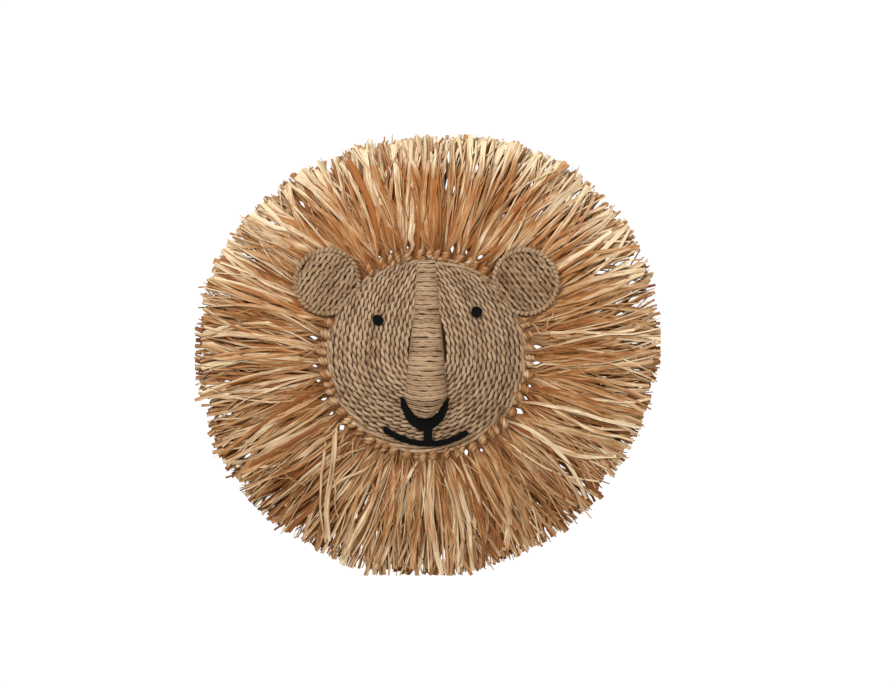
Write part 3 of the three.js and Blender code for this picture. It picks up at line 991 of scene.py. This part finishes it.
feltCut = {
    "thickness": 2.3, "voxel": 0.55, "smoothing": 3, "clearance": 0.4,
    "lumps": 0.28,      # to a millimetre: felt made by hand isn't even
    "lumpSideways": 0.45, "lumpHeight": 0.35, "lumpSeed": 5,
    "eyeRadius": 5.4,
    "eyes": {"left": (-0.49, 0.365), "right": (0.51, 0.45)},      # shares of the ring's half width, height
    "muzzleArm": 2.4, "muzzleDepth": 12.4, "noseGap": 0.3,
    "stemX": 1.5, "stemWidth": 8.4,
    "mouthX": 2, "mouthDrop": 0.932, "mouthRadius": 70.5,
    "mouthHalfAngle": 34.4, "mouthLean": 2.7, "mouthWidth": 5.4,
}


def cutOut(outline):
    # a slab of felt with this outline
    slab = bmesh.new()
    corners = [slab.verts.new((x, y, 0)) for x, y in outline]
    face = slab.faces.new(corners)
    raised = bmesh.ops.extrude_face_region(slab, geom=[face])["geom"]
    lifted = [item for item in raised if isinstance(item, bmesh.types.BMVert)]
    bmesh.ops.translate(slab, verts=lifted, vec=(0, 0, feltCut["thickness"]))
    bmesh.ops.triangulate(slab, faces=slab.faces)
    bmesh.ops.recalc_face_normals(slab, faces=slab.faces)
    return slab


def arc(x, y, across, up, start, end, steps=40):
    turn = np.linspace(start, end, steps)
    return np.column_stack([x + across * np.cos(turn), y + up * np.sin(turn)])


def muzzleOutline():
    # a crescent, close round the tip of the nose
    outer, deep = nose["width"] / 2 + feltCut["muzzleArm"], nose["tipLength"] + feltCut["muzzleDepth"]
    low = arc(nose["tipX"], nose["tipStart"], outer, deep, math.pi, 2 * math.pi)
    y = np.linspace(nose["tipStart"], nose["lowest"], 12)
    gap = feltCut["noseGap"]
    lower = y - gap * (y == y[-1])
    right = np.column_stack([noseMiddle(y) + noseHalf(y) + gap, lower])
    left = np.column_stack([noseMiddle(y) - noseHalf(y) - gap, lower])
    return np.concatenate([low, right, left[::-1]])


def mouthOutline(lowest):
    half, lean = math.radians(feltCut["mouthHalfAngle"]), math.radians(feltCut["mouthLean"])
    stroke, radius = feltCut["mouthWidth"] / 2, feltCut["mouthRadius"]
    x, y = feltCut["mouthX"], lowest + radius
    left, right = -math.pi / 2 - lean - half, -math.pi / 2 - lean + half

    def roundEnd(angle, start):
        return arc(x + radius * math.cos(angle), y + radius * math.sin(angle), stroke, stroke,
                   start, start + math.pi, 12)[1:-1]

    return np.concatenate([
        arc(x, y, radius + stroke, radius + stroke, left, right),
        roundEnd(right, right),
        arc(x, y, radius - stroke, radius - stroke, right, left),
        roundEnd(left, left + math.pi),
    ])


def layFelt(name, outlines, node):
    joined = bmesh.new()
    for outline in outlines:
        slab = cutOut(outline)
        part = bpy.data.meshes.new("slab")
        slab.to_mesh(part)
        slab.free()
        joined.from_mesh(part)
        bpy.data.meshes.remove(part)
    mesh = bpy.data.meshes.new("felt")
    joined.to_mesh(mesh)
    joined.free()
    carrier = addObject("felt", mesh)
    remesh = carrier.modifiers.new("fuse", "REMESH")
    remesh.mode = "VOXEL"
    remesh.voxel_size = feltCut["voxel"]
    soften = carrier.modifiers.new("soften", "SMOOTH")
    soften.iterations = feltCut["smoothing"]
    fused = appliedMesh(carrier)

    def layDown(points):
        for point in points:
            push = noise.noise_vector(Vector(point) * feltCut["lumps"])
            point[0] += feltCut["lumpSideways"] * push.x
            point[1] += feltCut["lumpSideways"] * push.y
            point[2] += feltCut["lumpHeight"] * push.z
        points[:, 2] += feltCut["clearance"]
        return ontoDome(points)

    moveVertices(fused, layDown)
    for polygon in fused.polygons:
        polygon.use_smooth = True
    return finishPiece(name, [fused], felt, [node], 80)


def makeFelt():
    noise.seed_set(feltCut["lumpSeed"])      # noise_vector differs from run to run without it
    for side, (across, up) in feltCut["eyes"].items():
        x, y = across * head["halfWidth"], up * head["halfHeight"]
        outline = arc(x, y, feltCut["eyeRadius"], feltCut["eyeRadius"], 0, 2 * math.pi, 33)[:-1]
        layFelt(f"felt_{side}_eye", [outline], f"{side}_eye")
    lowest = -feltCut["mouthDrop"] * head["halfHeight"]
    top = nose["lowest"] - feltCut["muzzleDepth"] / 2
    left, right = (feltCut["stemX"] + side * feltCut["stemWidth"] / 2 for side in (-1, 1))
    stem = [(left, top), (left, lowest), (right, lowest), (right, top)]
    layFelt("felt_nose_and_mouth", [muzzleOutline(), stem, mouthOutline(lowest)], "felt_mouth")


makeFelt()
print("the felt is laid on")


# Mane: tufts of raffia, knotted on the ring and trimmed round

mane = {
    "tufts": 48,
    "radius": 223.5,
    "waves": [(1, 3, 63), (2, 7, 22), (3, 3, 37)],     # waves round the edge, height, direction of a crest
    "knotLength": 8.5, "knotHeight": 7.5, "knotHalf": 4.8, "knotBands": 3, "bandHalf": 2.0,
    "slant": (2, 8), "knotTone": (0.5, 0.9), "knotStations": 9,
    "twinKnots": [-3.2, 3.2],    # places of the two knots that every third tuft has
    "twinShare": 0.72,           # of a single knot's width
    "peepholes": [               # where the wall shows between knots, and how wide from its middle
        (25.5, 105.5, 1.6), (40, 103, 1.2), (54.5, 99, 2.0), (-18.5, 107, 1.0), (-35.5, 103, 1.2),
        (-47, 98, 1.0), (110, 8, 2.0), (109, -8, 1.9), (104, -20, 1.5), (103.5, -31, 1.5), (99, -43, 1.8),
        (92.5, -56, 2.9), (55, -95, 1.5), (40, -98, 2.0), (-85.5, -73, 3.2), (-94.5, -58, 1.2),
        (-102, -44, 1.4), (-112.5, 17, 1.7), (-111.5, -11, 1.6), (-109, -26, 1.5),
    ],
    "peepholeHalfLength": 3.6,
    "slits": [                   # where it shows between locks further out: half width, half length
        (173.5, 83, 2.0, 11), (206, 73, 1.5, 12), (206, 92, 1.8, 12), (-153.5, 132, 1.4, 6),
        (-125, 152, 1.4, 7), (-36.5, 185, 1.3, 6), (47.7, 203, 1.1, 5), (50, 185, 1.4, 6),
        (27.7, 167, 0.8, 5), (119, 186, 1.2, 6), (105, 170, 1.2, 6), (147.7, 158, 1.4, 6),
        (77.7, 140, 0.8, 4), (-196, 125, 1.4, 9), (-178, -100, 1.6, 9), (-70, -161, 0.9, 6),
    ],
    "strips": 58, "stations": 14,
    "height": 14, "tipHeight": 11,
    "halfWidths": [0.5, 0.7, 0.9, 1.1, 1.4, 1.7, 2.1, 2.7],
    "widthKept": (0.85, 0.98),      # by all strips, in the lower half of the mane and at its top
    "locks": 5, "lockSpread": 1.1,
    "ragged": 6,                    # how much longer or shorter a lock is
    "crossing": 0.28,               # share of the strips that cross their neighbours
    "crossingSpread": 1.6,
    "broken": 0.14, "brokenOff": (6, 45),      # share of the strips, and how much is missing
    "bend": 7.5,
    # unevenness of a strip: over how many millimetres, and how much
    "sideWander": (34, 4.5), "riseWander": (28, 2.2), "widthWander": (22, 0.25), "tiltWander": (35, 0.9),
    "pointed": [(143.4, 239), (203, 233), (255, 232), (316, 231), (20, 229)],     # long locks: way, reach
    "pointedStrips": 7,
    "betweenKnots": [-1.05, -0.8, 0.8, 1.05],
    "stray": 3, "strayHalf": 0.34, "strayStart": (12, 60), "strayLength": (18, 55),
    "knotShade": 0.75,              # how much painted shade the knots get, beside the strips
    "loose": [      # pale ribbons that have come out of place: half width and the way they run
        (1.3, [(-101, -86), (-106.5, -118), (-105, -152), (-100.5, -187)]),
        (1.6, [(-90.5, -73), (-94, -112), (-97, -145), (-97, -186)]),
        (1.4, [(-92.8, -75), (-96.8, -113), (-99.6, -146), (-99.4, -184)]),
        (0.7, [(-94, -120), (-91.5, -140), (-88, -162)]),
        (1.2, [(-51, -106), (-72, -119), (-94, -132)]),
        (0.4, [(-160, -116), (-147, -125), (-134, -121), (-121, -130)]),
        (0.4, [(-152, -108), (-139, -122), (-127, -127), (-118, -123)]),
        (0.8, [(105, 31), (112, 24), (119, 21)]),
        (0.8, [(127, 46), (123, 36), (121, 27)]),
        (0.5, [(112, 26), (124, 21), (133, 17)]),
    ],
}
wedge = math.pi / mane["tufts"]      # half of a tuft's share of the circle


def maneReach(angle):
    waves = sum(
        height * np.cos(turns * (angle - math.radians(crest)))
        for turns, height, crest in mane["waves"]
    )
    return mane["radius"] + waves


earPlanes = {name: earMatrix(side) for name, side in ear["sides"].items()}


def underEars(points, room):
    # strips behind an ear stay below its back
    for matrix in earPlanes.values():
        local = placed(matrix.inverted(), points)
        covered = np.hypot(local[:, 0], local[:, 1]) < ear["radius"] + 2
        back = -ear["rim"] - room
        over = covered & (local[:, 2] > back)
        if over.any():
            normal = np.array(matrix.to_3x3() @ Vector((0, 0, 1)))
            drop = np.where(over, (local[:, 2] - back) / normal[2], 0)
            points = points - np.column_stack([np.zeros_like(drop), np.zeros_like(drop), drop])
    points[:, 2] = np.maximum(points[:, 2], 0.9)
    return points


def radialPoints(angle, reach, lateral, z):
    # points given by their distance out along a direction and to its left
    radial = np.array([math.cos(angle), math.sin(angle)])
    side = np.array([-math.sin(angle), math.cos(angle)])
    along = np.sqrt(np.maximum(reach ** 2 - lateral ** 2, 1))
    return np.column_stack([along[:, None] * radial + lateral[:, None] * side, z])


openings = [(*peephole, mane["peepholeHalfLength"]) for peephole in mane["peepholes"]] + mane["slits"]


def besideOpenings(angle, reach, lateral, half):
    # moves a strip aside where it would cover a peephole or a slit
    for x, y, hole, length in openings:
        holeReach = math.hypot(x, y)
        holeLateral = holeReach * math.sin(math.atan2(y, x) - angle)
        onThisSide = x * math.cos(angle) + y * math.sin(angle) >= 0
        if not onThisSide or abs(holeLateral) > max(16, holeReach * 0.2):
            continue
        offset = np.interp(holeReach, reach, lateral) - holeLateral
        room = hole + half - abs(offset)
        if room > 0:
            nearHole = smooth(1.8 - abs(reach - holeReach) / length)
            lateral = lateral + math.copysign(room, offset) * nearHole
    return lateral


def maneStrip(generator, angle, layer, near, far, half, cut):
    # one strip from the knot to the trimmed edge; layer 0 lies on the wall and 1 is in front,
    # and near and far are where it starts and ends across the tuft's share, from -1 to 1
    def uneven(values, scale, height):
        return wander(values, generator.random() * 99, scale, height)

    start = float(ringReach(angle, head["ringRadius"]))
    end = maneReach(angle + far * wedge) + cut + generator.uniform(-1.5, 1.5)
    if generator.random() < mane["broken"]:
        end -= generator.uniform(*mane["brokenOff"])
    elif generator.random() < 0.08:
        end += generator.uniform(1, 6)
    t = np.linspace(0, 1, mane["stations"]) ** 1.5
    reach = mix(start - 1, end, t)
    past = np.clip((reach - start - 3) / (end - start - 3), 0, 1)
    neck = near * mane["knotHalf"] * mix(1.9, 0.9, layer)
    lateral = mix(neck, reach * wedge * mix(near, far, past), smooth(past * 5 + 0.1))
    bend = generator.gauss(0, mane["bend"])
    lateral = lateral + bend * np.sin(math.pi * past) + uneven(reach, *mane["sideWander"]) * past
    lateral = besideOpenings(angle, reach, lateral, half)
    rise = mix(2 + 3.5 * layer, 1.2 + layer * mane["height"], smooth(past * 3.5))
    rise = mix(rise, 1.2 + layer * mane["tipHeight"], smooth((past - 0.55) * 2.2))
    rise = rise + uneven(reach, *mane["riseWander"]) * past
    gathered = mix(0.95, 0.55, layer)      # how narrow the knot draws it
    size = half * (mix(gathered, 1, smooth(past * 4)) + uneven(reach, *mane["widthWander"]))
    tilt = generator.gauss(0, 0.45) + generator.gauss(0, 0.8) * past
    tilt = (tilt + uneven(reach, *mane["tiltWander"])) * mix(smooth(past * 5), 1, layer)
    points = underEars(radialPoints(angle, reach, lateral, rise), half * 0.5)
    # painted shade: lower layers get a darker tone, under the strips in front, with a random spread
    tone = np.clip(0.1 + 0.58 * layer + generator.gauss(0, 0.24), 0, 1)
    return {"path": points, "size": size, "tilt": tilt, "tone": tone}


def looseRibbons(angle):
    # the ribbons that start in this tuft's share
    strips = []
    for half, way in mane["loose"]:
        x, y = way[0]
        if abs((math.atan2(y, x) - angle + math.pi) % (2 * math.pi) - math.pi) <= wedge:
            path = evenPath(np.array(way, dtype=float), mane["stations"])
            step = np.linspace(0, 1, mane["stations"])
            path += sideways(path) * (1.5 * np.sin(2 * math.pi * step))[:, None]
            points = np.column_stack([path, mix(13, mane["height"] + 2.5, smooth(step * 6))])
            tilt = wander(step * 12, half, 4, 1.1)
            size = half * (0.95 + wander(step * 12, half, 3, 0.2))
            strips.append({"path": points, "size": size, "tilt": tilt, "tone": 0.7 + 0.1 * half})
    return strips


def knotStrips(generator, angle, twins):
    # loops over the ring: slanting bands drawn tight round the neck of the tuft
    strips = []
    for middle in mane["twinKnots"] if twins else [0]:
        middle += generator.uniform(-0.8, 0.8)
        start = float(ringReach(angle)) + 2.2 + generator.uniform(-1.0, 1.2)
        half = mane["knotHalf"] * generator.uniform(0.85, 1.1) * (mane["twinShare"] if twins else 1)
        slant = generator.uniform(*mane["slant"])
        top = mane["knotHeight"] + generator.uniform(-1.8, 0.8)
        t = np.linspace(0, 1, mane["knotStations"])
        for band in range(mane["knotBands"]):
            step = (band + 0.5) / mane["knotBands"]
            width = half * (0.7 + 0.35 * math.sin(math.pi * step))
            lateral = middle + mix(width, -width, t)
            reach = start + mane["knotLength"] * step + slant * (t - 0.5) + generator.uniform(-0.6, 0.6)
            height = top + 1.2 * math.sin(math.pi * step)
            z = 1.5 + (height - 1.5) * np.sin(math.pi * t) ** 0.6
            points = underEars(radialPoints(angle, reach, lateral, z), 1.0)
            tone = generator.uniform(*mane["knotTone"])
            tilt = generator.uniform(-0.5, 0.5)
            strips.append({"path": points, "size": mane["bandHalf"], "tilt": tilt, "tone": tone})
    return strips


def markPaintedRootShade(mesh, share=1.0):
    # painted shade: tufts are coloured darkest low down between the knots, and their outer part isn't
    # darkened
    x, y, z = vertexPlaces(mesh).T
    out = np.hypot(x, y) - ringReach(np.arctan2(y, x))
    low = 1 - smooth((z - 1) / 11)
    inner = mix(0.95, 0.65, smooth(out / 40)) * (1 - smooth((out - 70) / 45))
    setDepth(mesh, share * low * inner)


def strayFibres(generator, angle):
    strips = []
    for fibre in range(mane["stray"]):
        start = float(ringReach(angle)) + generator.uniform(*mane["strayStart"])
        length = generator.uniform(*mane["strayLength"])
        heading = angle + generator.gauss(0, 0.45)
        t = np.linspace(0, 1, 10)
        curl = wander(t * 10, generator.random() * 99, 3.0, 6.0) * t
        origin = start * np.array([math.cos(angle), math.sin(angle)])
        flat = origin + np.column_stack([
            t * length * math.cos(heading) - curl * math.sin(heading),
            t * length * math.sin(heading) + curl * math.cos(heading),
        ])
        z = 12 + 2.0 * np.sin(math.pi * t)
        points = underEars(np.column_stack([flat, z]), 0.5)
        tone = generator.uniform(0.6, 1)
        strips.append({"path": points, "size": mane["strayHalf"], "tilt": 0.0, "tone": tone})
    return strips


def makeTuft(number):
    generator = random.Random(700 + number)
    angle = (number - 0.5) * 2 * wedge
    strips = {"flat": [], "cupped": [], "folded": []}
    ragged = mane["ragged"]
    wide = mix(*mane["widthKept"], float(smooth(math.sin(angle))))
    locks = [
        (generator.gauss(0, mane["lockSpread"]), generator.uniform(-ragged, ragged))
        for lock in range(mane["locks"])
    ]
    for strip in range(mane["strips"]):
        layer = (strip + generator.random()) / mane["strips"]
        near = generator.uniform(-1, 1) * mix(1.1, 0.7, layer)
        lock, cut = generator.choice(locks)
        far = mix(generator.uniform(-1.1, 1.1), lock, smooth(layer * 2.5)) + generator.gauss(0, 0.5)
        if generator.random() < mane["crossing"]:
            far += generator.gauss(0, mane["crossingSpread"])
        half = generator.choice(mane["halfWidths"]) * generator.uniform(0.85, 1.15)
        half = half * mix(1.1, 1.25, layer) * wide
        kind = generator.choice(["flat", "flat", "cupped", "folded"])
        strips[kind].append(maneStrip(generator, angle, layer, near, far, half, cut))
    for way, longest in mane["pointed"]:
        far = (math.radians(way) % (2 * math.pi) - angle) / wedge
        for strip in range(mane["pointedStrips"]) if abs(far) <= 1 else []:
            cut = longest - maneReach(angle + far * wedge) - 4.5 * strip ** 0.8
            near, aside = generator.uniform(-0.8, 0.8), generator.gauss(0, 0.12 + 0.05 * strip)
            strips["cupped"].append(maneStrip(generator, angle, 0.8, near, far + aside, 1.1, cut))
    for place in mane["betweenKnots"]:       # strips that close the gaps between knots
        layer, half = generator.uniform(0.02, 0.3), generator.uniform(2.0, 2.7)
        strips["flat"].append(maneStrip(generator, angle, layer, place, place, half, 0))
    strips["cupped"] += strayFibres(generator, angle)
    strips["flat"] += looseRibbons(angle)
    meshes = [meshOfStrands(kept, sections[kind]) for kind, kept in strips.items() if kept]
    for mesh in meshes:
        markPaintedRootShade(mesh)
    knots = meshOfStrands(knotStrips(generator, angle, twins=number % 3 == 0), sections["cupped"])
    markPaintedRootShade(knots, mane["knotShade"])
    meshes.append(knots)
    name = f"{number:02d}"
    return finishPiece(f"raffia_{name}", meshes, raffia, [f"tuft_{name}"], 40)


for tuftNumber in range(1, mane["tufts"] + 1):
    makeTuft(tuftNumber)
print("the mane is knotted")

for section in sections.values():
    bpy.data.objects.remove(section)


# Floor, well below the mask

floorPlane = {"halfSize": 2.4, "y": 0.4, "z": -1.25, "colour": (0.8, 0.79, 0.77, 1), "roughness": 0.8}


def addFloor():
    sheet = bmesh.new()
    bmesh.ops.create_grid(sheet, x_segments=8, y_segments=8, size=floorPlane["halfSize"])
    bmesh.ops.translate(sheet, verts=sheet.verts, vec=(0, floorPlane["y"], floorPlane["z"]))
    mesh = bpy.data.meshes.new("studio_floor")
    sheet.to_mesh(mesh)
    sheet.free()
    material, wire, shader = newMaterial("pale_floor")
    shader.inputs["Base Color"].default_value = floorPlane["colour"]
    shader.inputs["Roughness"].default_value = floorPlane["roughness"]
    mesh.materials.append(material)
    floor = addObject("studio_floor", mesh)


addFloor()

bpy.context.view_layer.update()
triangles = [
    sum(len(polygon.vertices) - 2 for polygon in piece.data.polygons)
    for piece in scene.objects if piece.type == "MESH" and not piece.hide_render
]
print("triangles in the scene:", sum(triangles), "and in its largest piece:", max(triangles))
